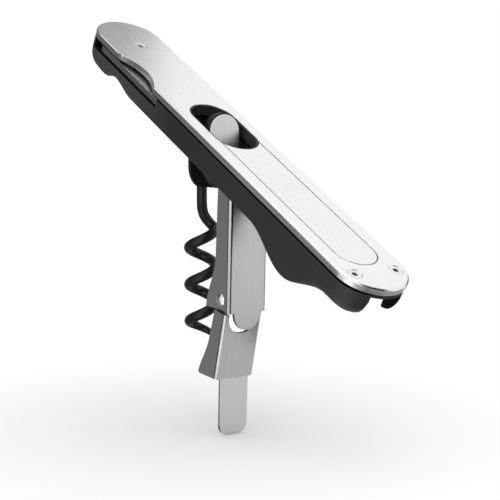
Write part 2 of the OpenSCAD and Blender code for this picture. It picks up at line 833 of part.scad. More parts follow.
module worm_hub() {
    neck_l = worm_offset + tongue_x + tongue_t / 2;
    color("#202224") hub_frame() difference() {
        union() {
            intersection() {
                across(2 * nose_r) hub_side();
                translate([-worm_offset, 0, 0]) {
                    rotate_extrude() nose_profile();
                    rotate([90, 0, 90]) linear_extrude(neck_l) {
                        nose_profile();
                        mirror([1, 0]) nose_profile();
                    }
                }
            }
            cross_pin(0, 0, 2 * hub_boss_r, -hub_wide, hub_wide);
            translate([tongue_x, 0, 0]) rotate([90, 0, 90])
                linear_extrude(tongue_t) push_outline(push_rim);
        }
        cross_pin(0, 0, pin_d + 2 * fit_gap, -plate_w, plate_w);
        translate([-worm_offset, 0, hub_z0 - through])
            cylinder(d = wire_d + 2 * fit_gap, h = shank_in + through);
    }
}

module push_plate() {
    color("silver") hub_frame() translate([face_offset - push_t, 0, 0]) rotate([90, 0, 90])
        linear_extrude(push_t) push_outline(0);
}

// the worm is one swept tube, with its path in world coordinates
shank_in = 6;
worm_x = hub_pin_world[0] - worm_offset;
shank_top = hub_pin_world[2] + hub_z0 + shank_in - face_gap;
shank_steps = 4;
shank_ease = 0.6;
wire_sides = 14;
turn_step = 15;
lead_turn = 95;
start_turn = 145;
taper_turn = 260;
taper_power = 0.7;
tip_r = 0.15;
turn_total = lead_turn + 360 * (worm_bend_z - worm_lead - worm_tip_z) / worm_pitch;
lead_rise = worm_pitch * lead_turn / 360;

// the wire drops steeply at first and then settles to its pitch
function drop(t) = let (u = t / lead_turn) u < 1
    ? (2 * worm_lead - lead_rise) * u + (lead_rise - worm_lead) * u * u
    : worm_lead + lead_rise * (u - 1);
function outward(t) = [cos(start_turn - t), sin(start_turn - t), 0];
function path(t) = [worm_x, 0, worm_bend_z - drop(t)] + helix_r * soft(t / lead_turn) * outward(t);
function wire_r(t) = tip_r + (wire_d / 2 - tip_r)
    * min(1, pow((turn_total - t) / taper_turn, taper_power));
function unit(v) = v / norm(v);
function ring_points(p, dir, side, r) =
    let (n = unit(side - (side * dir) * dir), b = cross(dir, n))
    [for (i = [0 : wire_sides - 1])
        let (a = 360 * i / wire_sides) p + r * (cos(a) * n + sin(a) * b)];

module worm() {
    turns = concat([for (t = [0 : turn_step : turn_total - 1]) t], [turn_total]);
    shank_fall = (shank_top - worm_bend_z - shank_ease) / (shank_steps - 1);
    shank = [for (i = [0 : shank_steps - 1]) each ring_points(
        [worm_x, 0, shank_top - shank_fall * i], [0, 0, -1], outward(0), wire_d / 2)];
    coil = [for (t = turns) each ring_points(
        path(t), unit(path(t + 1) - path(t - 1)), outward(t), wire_r(t))];
    points = concat(shank, coil);
    color("#202020")
        polyhedron(points = points, faces = tube_faces(wire_sides, len(points) / wire_sides),
            convexity = 10);
}

top_plate();
inlay_strip();
inlay_tape();
handle_body();
end_screws();
end_inserts();
blade_screw();
blade_insert();
blade_bush();
blade_washers();
foil_blade();
lever_pin();
lever_washers();
upper_lever();
lower_lever();
lever_rivets();
hub_pin();
hub_spacers();
worm_hub();
push_plate();
worm();
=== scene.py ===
"""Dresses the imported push-pull corkscrew and lights it in a plain white studio."""

import logging
import math
from dataclasses import dataclass
from enum import Enum
from typing import Any, Protocol, Union

import bmesh
import bpy
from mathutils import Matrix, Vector
from mathutils.bvhtree import BVHTree


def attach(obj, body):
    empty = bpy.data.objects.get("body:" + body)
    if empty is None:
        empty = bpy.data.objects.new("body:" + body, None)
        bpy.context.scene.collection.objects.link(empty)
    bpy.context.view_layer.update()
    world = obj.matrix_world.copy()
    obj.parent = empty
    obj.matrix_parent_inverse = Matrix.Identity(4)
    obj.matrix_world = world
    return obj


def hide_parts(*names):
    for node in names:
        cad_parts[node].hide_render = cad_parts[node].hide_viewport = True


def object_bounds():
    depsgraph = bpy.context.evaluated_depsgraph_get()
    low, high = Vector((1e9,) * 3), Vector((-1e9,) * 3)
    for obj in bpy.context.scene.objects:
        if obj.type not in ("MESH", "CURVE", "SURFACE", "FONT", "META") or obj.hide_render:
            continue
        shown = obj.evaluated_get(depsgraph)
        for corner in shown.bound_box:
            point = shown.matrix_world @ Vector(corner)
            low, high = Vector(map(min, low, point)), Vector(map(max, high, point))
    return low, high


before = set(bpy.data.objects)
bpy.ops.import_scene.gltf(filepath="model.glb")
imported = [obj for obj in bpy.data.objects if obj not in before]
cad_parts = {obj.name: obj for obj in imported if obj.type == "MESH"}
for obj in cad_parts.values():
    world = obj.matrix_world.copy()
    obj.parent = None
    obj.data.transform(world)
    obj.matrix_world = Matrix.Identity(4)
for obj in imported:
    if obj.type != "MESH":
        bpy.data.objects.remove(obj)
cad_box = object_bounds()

log = logging.getLogger("corkscrew")

MM = 0.001
# Face marks read by the finishes: rounded edges (scuffing with a painted edge light) and the lever
# tab (painted reflection); faces beside inner corners (painted shade); cut faces of sheets
# (darkened as painted shade).
EDGE_LIGHT_MARK = "wear_and_painted_light"
SHADE_MARK = "recess_shade"
SHEARED = "sheared"
MIDDLE = 0.5

Triple = tuple[float, float, float]
Colour = Triple
Spot = Triple
Tint = Union[Colour, bpy.types.NodeSocket]
Number = Union[float, "Shade"]

BLACK: Colour = (0.0, 0.0, 0.0)
WHITE: Colour = (1.0, 1.0, 1.0)


class Body(Enum):
    """The bodies that move as one."""

    HANDLE = "handle"
    LEVER = "lever"
    FOOT = "foot"
    WORM = "worm_unit"
    BLADE = "blade"


class Grain(Enum):
    """How a brushed face is turned: its lean about Y in degrees, and the axis of its brush."""

    HANDLE = (28.36, 0)
    LEVER = (2.0, 2)
    FOOT = (14.3, 2)
    UPRIGHT = (0.0, 2)

    @property
    def lean(self) -> float:
        """The lean about Y in radians."""
        return math.radians(self.value[0])

    def stretch(self, along: float, across: float) -> Triple:
        """Sizes of one streak on the three axes.

        Args:
            along: length of a streak in metres.
            across: width of a streak in metres.

        Returns:
            The streak's size on each axis of the turned face.
        """
        sizes = [across, across, across]
        sizes[self.value[1]] = along
        return (sizes[0], sizes[1], sizes[2])


class Shade:
    """A number on a surface, which adds a Math node for each sum it is used in."""

    def __init__(self, canvas: "Canvas", socket: bpy.types.NodeSocket) -> None:
        """Holds one output socket of a canvas."""
        self.canvas = canvas
        self.socket = socket

    def _math(self, operation: str, first: Number, second: Number, clamp: bool = False) -> "Shade":
        """Adds one Math node.

        Args:
            operation: the node's operation.
            first: its first value.
            second: its second value.
            clamp: whether the result stays between 0 and 1.

        Returns:
            The node's result.
        """
        settings = {"operation": operation, "use_clamp": clamp}
        node = self.canvas.add("ShaderNodeMath", settings, {0: first, 1: second})
        return Shade(self.canvas, node.outputs[0])

    def __add__(self, other: Number) -> "Shade":
        """Sum."""
        return self._math("ADD", self, other)

    __radd__ = __add__

    def __sub__(self, other: Number) -> "Shade":
        """Difference."""
        return self._math("SUBTRACT", self, other)

    def __rsub__(self, other: Number) -> "Shade":
        """Difference from a number."""
        return self._math("SUBTRACT", other, self)

    def __mul__(self, other: Number) -> "Shade":
        """Product."""
        return self._math("MULTIPLY", self, other)

    __rmul__ = __mul__

    def __truediv__(self, other: Number) -> "Shade":
        """Quotient."""
        return self._math("DIVIDE", self, other)

    def clamped(self) -> "Shade":
        """The same number, kept between 0 and 1."""
        return self._math("ADD", self, 0.0, clamp=True)

    def larger(self, other: Number) -> "Shade":
        """The larger of two numbers."""
        return self._math("MAXIMUM", self, other)


class Canvas:
    """A node tree that finishes and studio surfaces are written on."""

    def __init__(self, tree: bpy.types.NodeTree) -> None:
        """Clears a tree to write on.

        Args:
            tree: the node tree of a material or a world.
        """
        self.tree = tree
        tree.nodes.clear()

    def add(self, kind: str, settings: dict[str, Any] | None = None,
            sockets: dict[Any, Any] | None = None) -> bpy.types.Node:
        """Adds one node.

        Args:
            kind: the node's type.
            settings: its own properties, set before its sockets.
            sockets: a value, a Shade or a socket for each input.

        Returns:
            The new node.
        """
        node = self.tree.nodes.new(kind)
        for name, value in (settings or {}).items():
            setattr(node, name, value)
        for name, value in (sockets or {}).items():
            if isinstance(value, Shade):
                value = value.socket
            if isinstance(value, bpy.types.NodeSocket):
                self.tree.links.new(value, node.inputs[name])
            else:
                node.inputs[name].default_value = value
        return node

    def shade(self, kind: str, settings: dict[str, Any] | None = None,
              sockets: dict[Any, Any] | None = None, out: Any = 0) -> Shade:
        """Adds one node and wraps one of its outputs.

        Args:
            kind: the node's type.
            settings: its own properties.
            sockets: its inputs.
            out: name or index of the output.

        Returns:
            The output as a number.
        """
        return Shade(self, self.add(kind, settings, sockets).outputs[out])

    def place(self, lean: float = 0.0, size: Triple = (1.0, 1.0, 1.0)) -> bpy.types.NodeSocket:
        """Object coordinates, turned with a face and counted in features.

        Args:
            lean: turn of the face about Y in radians.
            size: size of one feature on each axis in metres.

        Returns:
            The vector socket.
        """
        where = self.add("ShaderNodeTexCoord").outputs["Object"]
        sockets = {"Vector": where, "Rotation": (0.0, lean, 0.0), "Scale": size}
        return self.add("ShaderNodeMapping", {"vector_type": "TEXTURE"}, sockets).outputs[0]

    def noise(self, where: bpy.types.NodeSocket, detail: float = 2.0, rough: float = 0.5) -> Shade:
        """Noise whose features are one unit across.

        Args:
            where: the coordinates.
            detail: octaves of finer noise.
            rough: strength of the finer noise.

        Returns:
            Noise from 0 to 1.
        """
        sockets = {"Vector": where, "Scale": 1.0, "Detail": detail, "Roughness": rough}
        return self.shade("ShaderNodeTexNoise", None, sockets)

    def mark(self, name: str) -> Shade:
        """A number that the piece's own faces carry."""
        return self.shade("ShaderNodeAttribute", {"attribute_name": name}, None, "Fac")

    def tint(self, mask: Shade, low: Tint, high: Tint) -> bpy.types.NodeSocket:
        """Mixes two colours.

        Args:
            mask: 0 for the first colour and 1 for the second.
            low: the first colour, or its socket.
            high: the second colour, or its socket.

        Returns:
            The colour socket.
        """
        ends = [(*tint, 1.0) if isinstance(tint, tuple) else tint for tint in (low, high)]
        sockets = {0: mask, 6: ends[0], 7: ends[1]}
        return self.add("ShaderNodeMix", {"data_type": "RGBA"}, sockets).outputs[2]

    def bump(self, height: Shade, strength: float, depth: float) -> bpy.types.NodeSocket:
        """Normals from a height.

        Args:
            height: the height from 0 to 1.
            strength: how much of it shows.
            depth: its full height in metres.

        Returns:
            The normal socket.
        """
        sockets = {"Strength": strength, "Distance": depth, "Height": height}
        return self.add("ShaderNodeBump", None, sockets).outputs[0]

    def mixed(self, mask: Shade, first: bpy.types.Node, second: bpy.types.Node) -> bpy.types.Node:
        """Mixes two shaders.

        Args:
            mask: 0 for the first shader and 1 for the second.
            first: the first shader.
            second: the second shader.

        Returns:
            The mixed shader.
        """
        sockets = {0: mask, 1: first.outputs[0], 2: second.outputs[0]}
        return self.add("ShaderNodeMixShader", None, sockets)

    def end(self, shader: bpy.types.Node, kind: str = "ShaderNodeOutputMaterial") -> None:
        """Ends the tree with a shader."""
        self.add(kind, None, {"Surface": shader.outputs[0]})

    def surface(self, sockets: dict[str, Any], shade_mask: Shade | None = None,
                shade_colour: Colour = BLACK) -> None:
        """Ends the tree with one shader, mixed with a matt dark shader where a painted shade lies.

        Args:
            sockets: the inputs of the shader.
            shade_mask: share of the surface that the painted shade covers, if any.
            shade_colour: colour of the painted shade.
        """
        shader = self.add("ShaderNodeBsdfPrincipled", None, sockets)
        if shade_mask is not None:
            matt = self.add("ShaderNodeBsdfDiffuse", None, {"Color": (*shade_colour, 1.0)})
            shader = self.mixed(shade_mask, shader, matt)
        self.end(shader)


def new_canvas(name: str) -> tuple[bpy.types.Material, Canvas]:
    """Makes an empty material.

    Args:
        name: the material's name.

    Returns:
        The material and its canvas.
    """
    material = bpy.data.materials.new(name)
    material.use_nodes = True
    return material, Canvas(material.node_tree)


def scaled(colour: Colour, share: float) -> Colour:
    """A colour made darker by a share."""
    return (colour[0] * share, colour[1] * share, colour[2] * share)


class Finish(Protocol):
    """Anything that has a name and can make a material."""

    @property
    def name(self) -> str:
        """The material's name."""

    def make(self) -> bpy.types.Material:
        """Makes the material."""


@dataclass(frozen=True)
class BrushedSteel:
    """Sheet steel with a fine lengthwise brush, a painted edge light on its rounded edges, and a
    painted shade on its cut faces.
    """

    name: str
    grain: Grain
    dark: Colour = (0.62, 0.625, 0.63)
    light: Colour = (0.80, 0.80, 0.80)
    # Edge colour of the rounded faces: scuffing with a painted highlight; a colour darker than the
    # sheet paints a shade line instead.
    wear_and_edge_light: Colour = (0.86, 0.86, 0.86)
    roughness: float = 0.27
    streak_l: float = 22 * MM
    streak_w: float = 0.32 * MM
    smudge: float = 14 * MM
    depth: float = 0.008 * MM
    fineness: float = 3.0
    fine_share: float = 0.4
    contrast: float = 2.2
    smudge_share: float = 0.2
    edge_light_share: float = 0.8
    # Darkness of the painted shade on a sheet's cut faces.
    cut_shade_tone: float = 0.22
    streak_rough: float = 0.08
    smudge_rough: float = 0.06
    rub_polish: float = 0.06
    cut_rough: float = 0.2
    relief: float = 0.5

    def make(self) -> bpy.types.Material:
        """Makes the material from two widths of streak and soft smudges.

        Returns:
            The material.
        """
        material, canvas = new_canvas(self.name)
        lean = self.grain.lean
        wide_size = self.grain.stretch(self.streak_l, self.streak_w)
        fine_size = self.grain.stretch(self.streak_l / self.fineness, self.streak_w / self.fineness)
        wide = canvas.noise(canvas.place(lean, wide_size), detail=3.0, rough=0.6)
        fine = canvas.noise(canvas.place(lean, fine_size), rough=0.6)
        smudge = canvas.noise(canvas.place(lean, (self.smudge,) * 3))
        worn_and_lit = canvas.mark(EDGE_LIGHT_MARK)
        sheared = canvas.mark(SHEARED)
        both = wide * (1.0 - self.fine_share) + fine * self.fine_share
        streak = (both - MIDDLE) * self.contrast + MIDDLE
        mask = (streak * (1.0 - self.smudge_share) + smudge * self.smudge_share).clamped()
        brushed = canvas.tint(mask, self.dark, self.light)
        # Painted edge light: the rounded faces and the lever tab are tinted towards the edge
        # colour.
        base = canvas.tint(worn_and_lit * self.edge_light_share, brushed, self.wear_and_edge_light)
        rough = (self.roughness + (streak - MIDDLE) * self.streak_rough
                 + (smudge - MIDDLE) * self.smudge_rough - worn_and_lit * self.rub_polish)
        canvas.surface({
            # Painted shade: the cut faces of a sheet are darkened.
            "Base Color": canvas.tint(sheared, base, scaled(self.dark, self.cut_shade_tone)),
            "Metallic": 1.0,
            "Roughness": rough + sheared * self.cut_rough,
            "Normal": canvas.bump(streak, self.relief, self.depth),
        })
        return material


@dataclass(frozen=True)
class TurnedMetal:
    """Small turned or headed metal, satin to polished, with a painted highlight on its rounded
    edges and a painted shade in its recesses.
    """

    name: str
    colour: Colour
    roughness: float
    fleck: float = 0.5 * MM
    fleck_depth: float = 0.004 * MM
    fleck_tone: float = 0.88
    fleck_share: float = 0.7
    edge_light_share: float = 0.5
    # Painted shade beside inner corners: its darkness and how much of it shows.
    recess_shade_tone: float = 0.06
    recess_shade_share: float = 0.65
    fleck_rough: float = 0.08
    hollow_rough: float = 0.3
    relief: float = 0.25

    def make(self) -> bpy.types.Material:
        """Makes the material with faint mottling, a painted highlight on its rounded edges and a
        painted shade beside inner corners.

        Returns:
            The material.
        """
        material, canvas = new_canvas(self.name)
        mottle = canvas.noise(canvas.place(0.0, (self.fleck,) * 3), detail=3.0, rough=0.6)
        worn_and_lit = canvas.mark(EDGE_LIGHT_MARK)
        recess_shade = canvas.mark(SHADE_MARK)
        # The rounded edges are brightened: scuffing with a painted highlight.
        mask = (mottle * self.fleck_share + worn_and_lit * self.edge_light_share).clamped()
        base = canvas.tint(mask, scaled(self.colour, self.fleck_tone), self.colour)
        # Painted shade: the faces beside inner corners are darkened.
        painted_shade = scaled(self.colour, self.recess_shade_tone)
        canvas.surface({
            "Base Color": canvas.tint(recess_shade * self.recess_shade_share, base, painted_shade),
            "Metallic": 1.0,
            "Roughness": self.roughness + mottle * self.fleck_rough + recess_shade * self.hollow_rough,
            "Normal": canvas.bump(mottle, self.relief, self.fleck_depth),
        })
        return material


@dataclass(frozen=True)
class PaintedLightRamp:
    """Painted light that pales a leaning piece, growing between two places along it."""

    grain: Grain
    none_at: float
    full_at: float
    share: float

    def mask(self, canvas: Canvas) -> Shade:
        """The share of painted light at a place.

        Args:
            canvas: the tree that asks.

        Returns:
            0 where no light is painted, up to the full share.
        """
        along = canvas.shade("ShaderNodeSeparateXYZ", None, {0: canvas.place(self.grain.lean)}, "X")
        return ((along - self.none_at) / (self.full_at - self.none_at)).clamped() * self.share


@dataclass(frozen=True)
class MouldedPlastic:
    """Dark moulded plastic with a fine grain, paler edges (scuffing with a painted highlight),
    painted shade in its recesses and, where given, painted light along its length.
    """

    name: str
    colour: Colour
    # Edge colour: scuffing with a painted highlight.
    wear_and_edge_light: Colour
    roughness: float = 0.5
    grain_w: float = 0.28 * MM
    grain_depth: float = 0.012 * MM
    gloss: float = 0.35
    # Painted light towards one end, if any.
    painted_light_ramp: PaintedLightRamp | None = None
    cloud_w: float = 9 * MM
    base_share: float = 0.1
    edge_light_share: float = 0.6
    cloud_share: float = 0.25
    grain_share: float = 0.2
    grain_rough: float = 0.12
    cloud_rough: float = 0.1
    rub_polish: float = 0.1
    relief: float = 0.45
    # Painted shade beside inner corners: how much of a matt dark shader shows, and its darkness.
    shade_share: float = 0.85
    shade_tone: float = 0.3

    def make(self) -> bpy.types.Material:
        """Makes the material.

        Returns:
            The material.
        """
        material, canvas = new_canvas(self.name)
        grain = canvas.noise(canvas.place(0.0, (self.grain_w,) * 3))
        cloud = canvas.noise(canvas.place(0.0, (self.cloud_w,) * 3))
        worn_and_lit = canvas.mark(EDGE_LIGHT_MARK)
        recess_shade = canvas.mark(SHADE_MARK)
        # The rounded edges are paled: scuffing with a painted highlight.
        mask = (worn_and_lit * self.edge_light_share + (cloud - MIDDLE) * self.cloud_share
                + (grain - MIDDLE) * self.grain_share + self.base_share)
        # Painted light: the moulding is paler towards its heel.
        if self.painted_light_ramp:
            mask = mask + self.painted_light_ramp.mask(canvas)
        base = canvas.tint(mask.clamped(), self.colour, self.wear_and_edge_light)
        rough = (self.roughness + (grain - MIDDLE) * self.grain_rough
                 + (cloud - MIDDLE) * self.cloud_rough - worn_and_lit * self.rub_polish)
        # The faces beside inner corners get a painted shade through a matt dark shader.
        canvas.surface({
            "Base Color": base,
            "Roughness": rough,
            "Specular IOR Level": self.gloss,
            "Normal": canvas.bump(grain, self.relief, self.grain_depth),
        }, recess_shade * self.shade_share, scaled(self.colour, self.shade_tone))
        return material


@dataclass(frozen=True)
class Film:
    """Thin grey adhesive film with a fibrous face."""

    name: str
    colour: Colour
    fibre: float = 0.6 * MM
    fibre_depth: float = 0.01 * MM
    fibre_tone: float = 0.7
    roughness: float = 0.7
    fibre_rough: float = 0.2
    relief: float = 0.3

    def make(self) -> bpy.types.Material:
        """Makes the material.

        Returns:
            The material.
        """
        material, canvas = new_canvas(self.name)
        fibre = canvas.noise(canvas.place(0.0, (self.fibre,) * 3), detail=4.0, rough=0.7)
        canvas.surface({
            "Base Color": canvas.tint(fibre, scaled(self.colour, self.fibre_tone), self.colour),
            "Roughness": self.roughness + fibre * self.fibre_rough,
            "Normal": canvas.bump(fibre, self.relief, self.fibre_depth),
        })
        return material


class Finishes:
    """Every finish of the tool, made once and shared."""

    def __init__(self) -> None:
        """Lists the finishes by name."""
        self._made: dict[str, bpy.types.Material] = {}

    def get(self, finish: Finish) -> bpy.types.Material:
        """Makes a finish, or finds it.

        Args:
            finish: the finish.

        Returns:
            Its material.
        """
        if finish.name not in self._made:
            self._made[finish.name] = finish.make()
        return self._made[finish.name]


@dataclass(frozen=True)
class Dressing:
    """How one piece is made ready to be seen: its softened edges and its finish."""

    node: str
    body: Body
    finish: Finish
    edge: float = 0.0
    steps: int = 2
    crease: float = 38.0
    smooth: float = 50.0
    weld: float = 0.01 * MM
    flat: float = 0.08
    # Faces below this height are lightened by this share, a painted reflection.
    painted_light_below: float | None = None
    painted_light_level: float = 0.5
    sheet: Grain | None = None
    cut_area: float = 5 * MM * MM
    cut_lean: float = 0.3
    slim: float = 0.0
    stray: float = 0.6

    def soften(self, shape: bmesh.types.BMesh) -> None:
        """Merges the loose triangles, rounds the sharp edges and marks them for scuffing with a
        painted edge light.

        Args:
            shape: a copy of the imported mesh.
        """
        bmesh.ops.remove_doubles(shape, verts=shape.verts, dist=self.weld)
        bmesh.ops.dissolve_limit(
            shape, angle_limit=math.radians(self.flat), verts=shape.verts, edges=shape.edges)
        self._mark(shape)
        if self.sheet:
            self._shear(shape, self.sheet)
        if self.edge:
            self._round(shape)
        limit = math.radians(self.smooth)
        for face in shape.faces:
            face.smooth = True
        for line in shape.edges:
            line.smooth = not line.is_manifold or line.calc_face_angle() < limit

    def _mark(self, shape: bmesh.types.BMesh) -> None:
        """Marks the faces beside inner corners for a painted shade, and those below a height for a
        painted reflection.

        Args:
            shape: the mesh.
        """
        wear_light_layer = shape.faces.layers.float.new(EDGE_LIGHT_MARK)
        recess_shade = shape.faces.layers.float.new(SHADE_MARK)
        limit = math.radians(self.crease)
        # Painted shade: faces beside inner corners are marked to be darkened.
        for line in shape.edges:
            if line.is_manifold and line.calc_face_angle_signed() < -limit:
                for face in line.link_faces:
                    face[recess_shade] = 1.0
        # Painted reflection: faces below the height are lightened.
        if self.painted_light_below is not None:
            for face in shape.faces:
                if face.calc_center_median().z < self.painted_light_below:
                    face[wear_light_layer] = self.painted_light_level

    def _shear(self, shape: bmesh.types.BMesh, sheet: Grain) -> None:
        """Marks the small cut faces of a sheet, which stand square to its broad face, for a painted
        shade.

        Args:
            shape: the mesh.
            sheet: how the broad face is turned.
        """
        sheared = shape.faces.layers.float.new(SHEARED)
        out = Vector((math.cos(sheet.lean), 0.0, -math.sin(sheet.lean)))
        for face in shape.faces:
            if face.calc_area() < self.cut_area and abs(face.normal.dot(out)) < self.cut_lean:
                face[sheared] = 1.0

    def _round(self, shape: bmesh.types.BMesh) -> None:
        """Rounds the sharp edges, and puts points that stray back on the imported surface.

        Args:
            shape: the mesh.
        """
        wear_light_layer = shape.faces.layers.float[EDGE_LIGHT_MARK]
        limit = math.radians(self.crease)
        sharp = [line for line in shape.edges
                 if line.is_manifold and line.calc_face_angle() > limit
                 and all(self._roomy(face) for face in line.link_faces)]
        packed = BVHTree.FromBMesh(shape)
        made = bmesh.ops.bevel(
            shape, geom=sharp, offset=self.edge, offset_type="OFFSET", segments=self.steps,
            profile=0.5, affect="EDGES", clamp_overlap=False, material=-1)
        # The rounded faces are marked for scuffing with a painted edge light.
        for face in made["faces"]:
            face[wear_light_layer] = 1.0
        for vert in shape.verts:
            nearest, _, _, gap = packed.find_nearest(vert.co)
            if gap > self.edge * self.stray:
                vert.co = nearest

    def _roomy(self, face: bmesh.types.BMFace) -> bool:
        """Whether a face is wide enough for its edges to be rounded."""
        return 2 * face.calc_area() > self.slim * face.calc_perimeter()

    def build(self, finishes: Finishes) -> bpy.types.Object:
        """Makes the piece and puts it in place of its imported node.

        Args:
            finishes: the shared finishes.

        Returns:
            The piece.
        """
        shape = bmesh.new()
        shape.from_mesh(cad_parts[self.node].data)
        self.soften(shape)
        mesh = bpy.data.meshes.new(self.node + "_skin")
        shape.to_mesh(mesh)
        shape.free()
        if "custom_normal" in mesh.attributes:
            mesh.attributes.remove(mesh.attributes["custom_normal"])
        mesh.materials.clear()
        mesh.materials.append(finishes.get(self.finish))
        mesh.polygons.foreach_set("material_index", [0] * len(mesh.polygons))
        piece = bpy.data.objects.new(self.node + "_skin", mesh)
        bpy.context.scene.collection.objects.link(piece)
        shading = piece.modifiers.new("face_shading", "WEIGHTED_NORMAL")
        shading.keep_sharp = True
        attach(piece, self.body.value)
        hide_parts(self.node)
        log.info("%s: %d faces", piece.name, len(mesh.polygons))
        return piece


PLATE_STEEL = BrushedSteel("plate_steel", Grain.HANDLE, (0.81, 0.815, 0.82), (0.98, 0.98, 0.98),
                           (0.8, 0.8, 0.8), streak_l=9 * MM, streak_w=0.26 * MM)
# The inlay strip's edge colour is dark: a painted shade line along its rounded edges.
STRIP_STEEL = BrushedSteel("strip_steel", Grain.HANDLE, (0.8, 0.805, 0.81), (0.96, 0.96, 0.96),
                           (0.42, 0.42, 0.42), streak_l=12 * MM, streak_w=0.26 * MM)
LEVER_STEEL = BrushedSteel("lever_steel", Grain.LEVER, (0.44, 0.445, 0.45), (0.58, 0.58, 0.58),
                           (0.6, 0.6, 0.6), roughness=0.25)
FOOT_STEEL = BrushedSteel("foot_steel", Grain.FOOT, (0.42, 0.425, 0.43), (0.55, 0.55, 0.55),
                          (0.8, 0.8, 0.8), roughness=0.25)
PUSH_STEEL = BrushedSteel("push_steel", Grain.UPRIGHT, (0.56, 0.565, 0.57), (0.78, 0.78, 0.78),
                          roughness=0.38, streak_l=9 * MM, streak_w=0.4 * MM)
BLADE_STEEL = BrushedSteel("blade_steel", Grain.HANDLE, (0.46, 0.465, 0.47), (0.54, 0.54, 0.54),
                           roughness=0.38, streak_w=0.6 * MM, depth=0.004 * MM)
SCREW_STEEL = TurnedMetal("screw_steel", (0.9, 0.9, 0.91), 0.28)
PIN_STEEL = TurnedMetal("pin_steel", (0.6, 0.6, 0.61), 0.32)
RIVET_STEEL = TurnedMetal("rivet_steel", (0.8, 0.8, 0.81), 0.16)
INSERT_BRASS = TurnedMetal("insert_brass", (0.75, 0.6, 0.3), 0.3)
# Painted light: the body is paler towards its heel.
HEEL_PAINTED_LIGHT = PaintedLightRamp(Grain.HANDLE, none_at=-29 * MM, full_at=-50 * MM, share=0.75)
BODY_PLASTIC = MouldedPlastic("body_plastic", (0.017, 0.0174, 0.0182), (0.055, 0.056, 0.058),
                              roughness=0.48, painted_light_ramp=HEEL_PAINTED_LIGHT)
HUB_PLASTIC = MouldedPlastic("hub_plastic", (0.009, 0.009, 0.0095), (0.03, 0.03, 0.032),
                             roughness=0.42, gloss=0.25)
WORM_COAT = MouldedPlastic("worm_coat", (0.007, 0.007, 0.0074), (0.02, 0.02, 0.02),
                           roughness=0.36, grain_w=0.5 * MM, grain_depth=0.006 * MM, gloss=0.3)
TAPE = Film("tape", (0.35, 0.35, 0.35))


@dataclass
class HandleTop:
    """The steel plate with its inlay strip, screws and their inserts."""

    plate_edge: float = 0.11 * MM
    strip_edge: float = 0.12 * MM
    screw_edge: float = 0.1 * MM

    def dressings(self) -> list[Dressing]:
        """Lists the pieces.

        Returns:
            How each piece is dressed.
        """
        handle = Body.HANDLE
        return [
            Dressing("top_plate", handle, PLATE_STEEL, self.plate_edge),
            Dressing("inlay_strip", handle, STRIP_STEEL, self.strip_edge),
            Dressing("inlay_tape", handle, TAPE),
            Dressing("end_screws", handle, SCREW_STEEL, self.screw_edge),
            Dressing("blade_screw", handle, SCREW_STEEL, self.screw_edge),
            Dressing("end_inserts", handle, INSERT_BRASS, self.screw_edge),
            Dressing("blade_insert", handle, INSERT_BRASS, self.screw_edge),
        ]


@dataclass
class HandleShell:
    """The moulded body and the pins, washers and spacers that it carries."""

    shell_edge: float = 0.12 * MM
    shell_slim: float = 0.1 * MM
    shell_crease: float = 55.0
    pin_edge: float = 0.1 * MM

    def dressings(self) -> list[Dressing]:
        """Lists the pieces.

        Returns:
            How each piece is dressed.
        """
        handle = Body.HANDLE
        pins = ["lever_pin", "hub_pin", "lever_washers", "hub_spacers"]
        return [
            Dressing("handle_body", handle, BODY_PLASTIC, self.shell_edge,
                     crease=self.shell_crease, slim=self.shell_slim),
            *[Dressing(pin, handle, PIN_STEEL, self.pin_edge) for pin in pins],
        ]


@dataclass
class FoilCutter:
    """The foil blade with its bush and washers."""

    blade_edge: float = 0.07 * MM
    washer_edge: float = 0.05 * MM

    def dressings(self) -> list[Dressing]:
        """Lists the pieces.

        Returns:
            How each piece is dressed.
        """
        return [
            Dressing("foil_blade", Body.BLADE, BLADE_STEEL, self.blade_edge),
            Dressing("blade_bush", Body.HANDLE, INSERT_BRASS, self.washer_edge),
            Dressing("blade_washers", Body.HANDLE, PIN_STEEL, self.washer_edge),
        ]


@dataclass
class LeverPair:
    """The two folded steel levers and the rivets between them."""

    sheet_edge: float = 0.06 * MM
    tab_top: float = 0.0

    def dressings(self) -> list[Dressing]:
        """Lists the pieces.

        Returns:
            How each piece is dressed.
        """
        return [
            Dressing("upper_lever", Body.LEVER, LEVER_STEEL, self.sheet_edge, sheet=Grain.LEVER),
            # The tab of the lower lever, below tab_top, is lightened as a painted reflection.
            Dressing("lower_lever", Body.FOOT, FOOT_STEEL, self.sheet_edge,
                     painted_light_below=self.tab_top, sheet=Grain.FOOT),
            Dressing("lever_rivets", Body.LEVER, RIVET_STEEL),
        ]


@dataclass
class WormUnit:
    """The hub with its push plate, and the coated worm."""

    hub_edge: float = 0.08 * MM
    hub_slim: float = 0.1 * MM
    plate_edge: float = 0.1 * MM

    def dressings(self) -> list[Dressing]:
        """Lists the pieces.

        Returns:
            How each piece is dressed.
        """
        return [
            Dressing("worm_hub", Body.WORM, HUB_PLASTIC, self.hub_edge, slim=self.hub_slim),
            Dressing("push_plate", Body.WORM, PUSH_STEEL, self.plate_edge),
            Dressing("worm", Body.WORM, WORM_COAT),
        ]


@dataclass(frozen=True)
class SoftBox:
    """A soft lamp, placed round the tool by its bearing."""

    name: str
    azimuth: float
    height: float
    reach: float
    width: float
    watts: float

    def place(self, centre: Vector) -> None:
        """Adds the lamp.

        Args:
            centre: the point that it looks at.
        """
        lamp = bpy.data.lights.new(self.name, "AREA")
        lamp.size = self.width
        lamp.energy = self.watts
        holder = bpy.data.objects.new(self.name, lamp)
        bpy.context.scene.collection.objects.link(holder)
        away = bearing(self.azimuth, self.height)
        holder.location = centre + away * self.reach
        holder.rotation_mode = "QUATERNION"
        holder.rotation_quaternion = (-away).to_track_quat("-Z", "Y")


